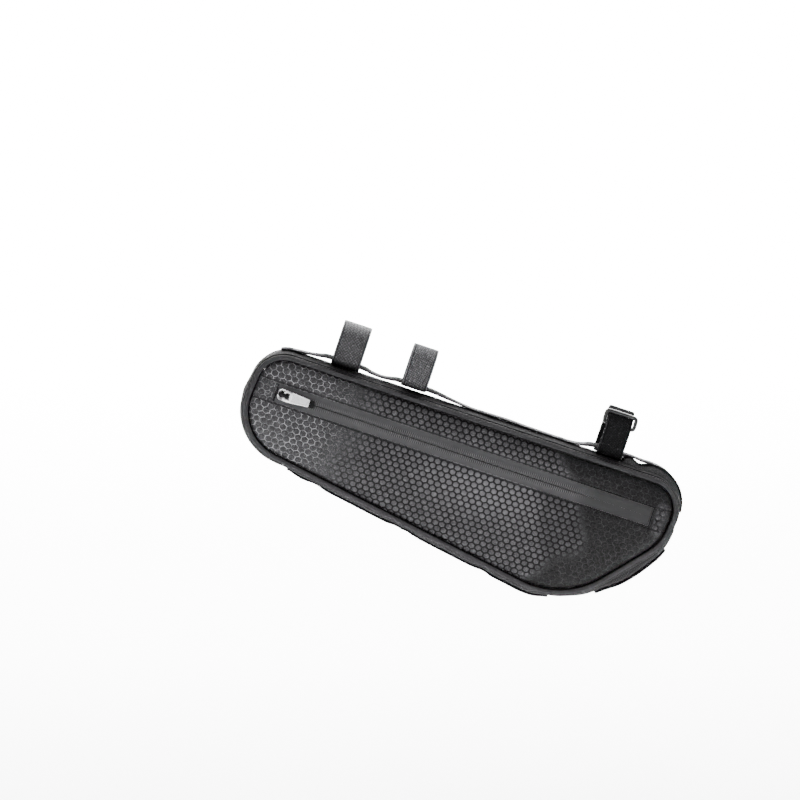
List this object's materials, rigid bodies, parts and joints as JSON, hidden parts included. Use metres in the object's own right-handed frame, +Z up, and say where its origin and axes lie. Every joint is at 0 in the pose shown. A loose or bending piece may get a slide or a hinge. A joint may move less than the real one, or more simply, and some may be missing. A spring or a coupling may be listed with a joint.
{
  "type": "bicycle frame bag",
  "caption": "Slim zipped bag that hangs under a bicycle's sloping top tube, inside the frame, from hook-and-loop straps over a webbing strip.",
  "frame": {"origin": "on the axis of the bicycle's top tube, where the middle strap goes round it", "axes": "+X to the rear of the bicycle, -Y out of the left panel with the zip, +Z up; the tube runs down to +X at 18.5 degrees"},
  "size_m": [0.3813, 0.0737, 0.2412],
  "materials": {
    "coated_fabric": "coated polyester with an embossed honeycomb, satin",
    "woven_fabric": "matt woven polyester",
    "piping_fabric": "piping covered in smooth woven tape",
    "zip_tape": "coated zip tape, satin",
    "pull_metal": "satin plated metal",
    "pull_rubber": "moulded black rubber",
    "webbing": "woven nylon webbing",
    "strap_fabric": "woven hook-and-loop tape",
    "ring_plastic": "moulded black plastic"
  },
  "bodies": {
    "bag": {"left_panel": "coated_fabric", "right_panel": "coated_fabric", "gusset": "woven_fabric", "left_piping": "piping_fabric", "right_piping": "piping_fabric", "zip_tape_upper": "zip_tape", "zip_tape_lower": "zip_tape", "zip_slider": "pull_metal", "top_webbing": "webbing", "bottom_webbing": "webbing", "rear_webbing": "webbing", "front_strap": "strap_fabric", "middle_strap": "strap_fabric", "rear_strap": "strap_fabric", "rear_strap_ring": "ring_plastic"},
    "zip_pull": {"zip_pull": "pull_metal", "zip_pull_tip": "pull_rubber"}
  },
  "joints": [
    {"name": "zip_pull_hinge", "type": "hinge", "parent": "bag", "child": "zip_pull", "pos_m": [-0.11546, -0.0371, -0.02095], "axis": [-0.3173, 0, -0.9483], "range_deg": [0, 170]}
  ]
}
